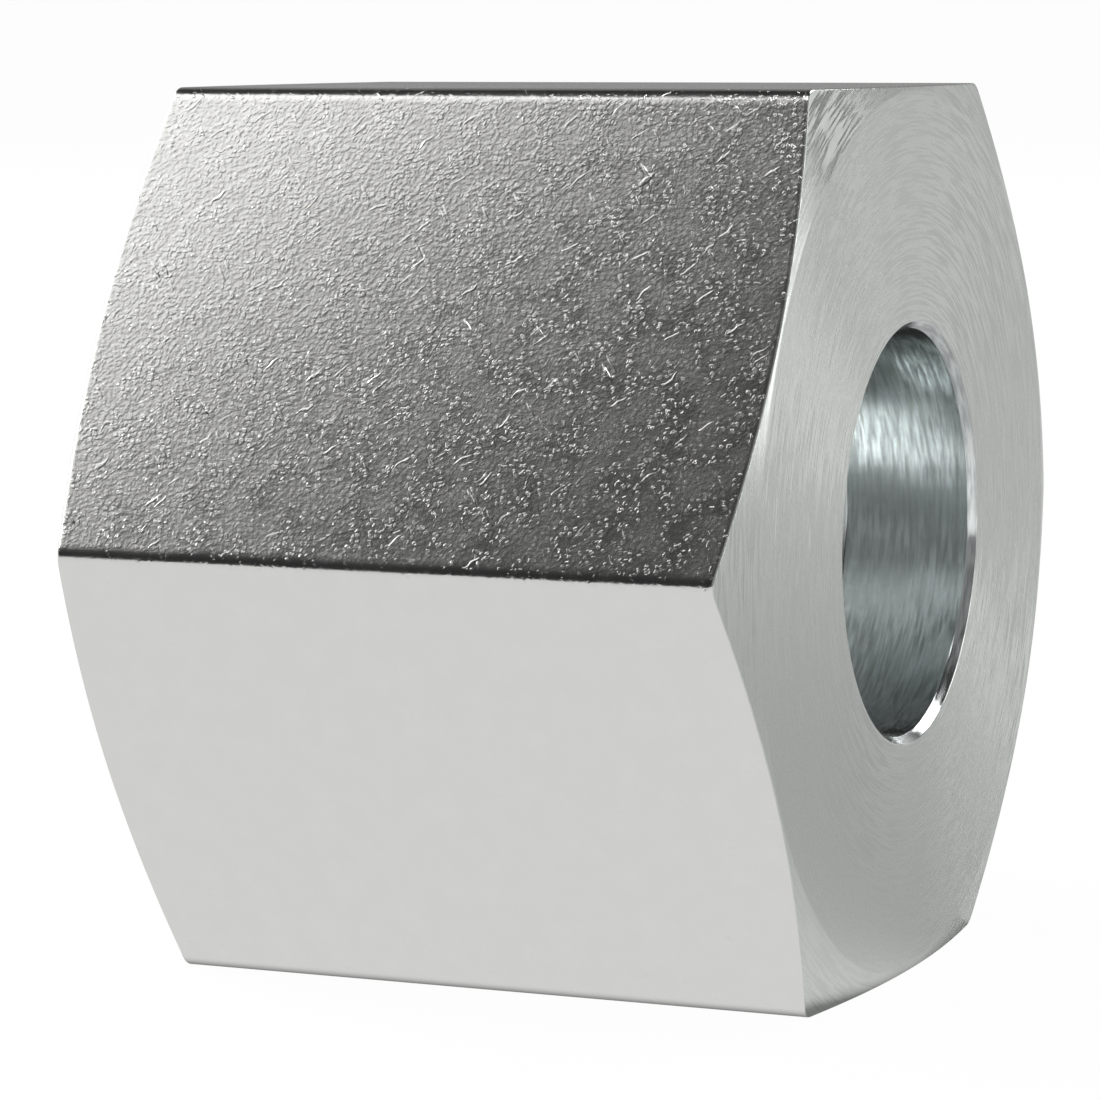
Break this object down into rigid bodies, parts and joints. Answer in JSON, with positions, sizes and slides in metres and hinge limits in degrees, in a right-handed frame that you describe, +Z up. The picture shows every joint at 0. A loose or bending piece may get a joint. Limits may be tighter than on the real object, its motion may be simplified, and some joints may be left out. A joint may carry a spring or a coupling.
{
  "type": "tube nut",
  "caption": "Hexagonal steel nut for a compression fitting, with a plain bore for the tube at one end and an internal thread at the other.",
  "frame": {"origin": "centre of the bounding box: on the nut's axis, at half its length", "axes": "+X along the axis towards the end where the tube leaves, the thread opens at -X; +Z up, square to the flat that the nut lies on; +Y to a corner of the hexagon"},
  "size_m": [0.0176, 0.0252, 0.022],
  "materials": {
    "zinc_plated_steel": "clear zinc plate over drawn hexagon flats with a fine pitted skin, and turned end faces, cones and bore with fine circular tool marks"
  },
  "bodies": {
    "root": {"tube_nut": "zinc_plated_steel"}
  },
  "joints": []
}
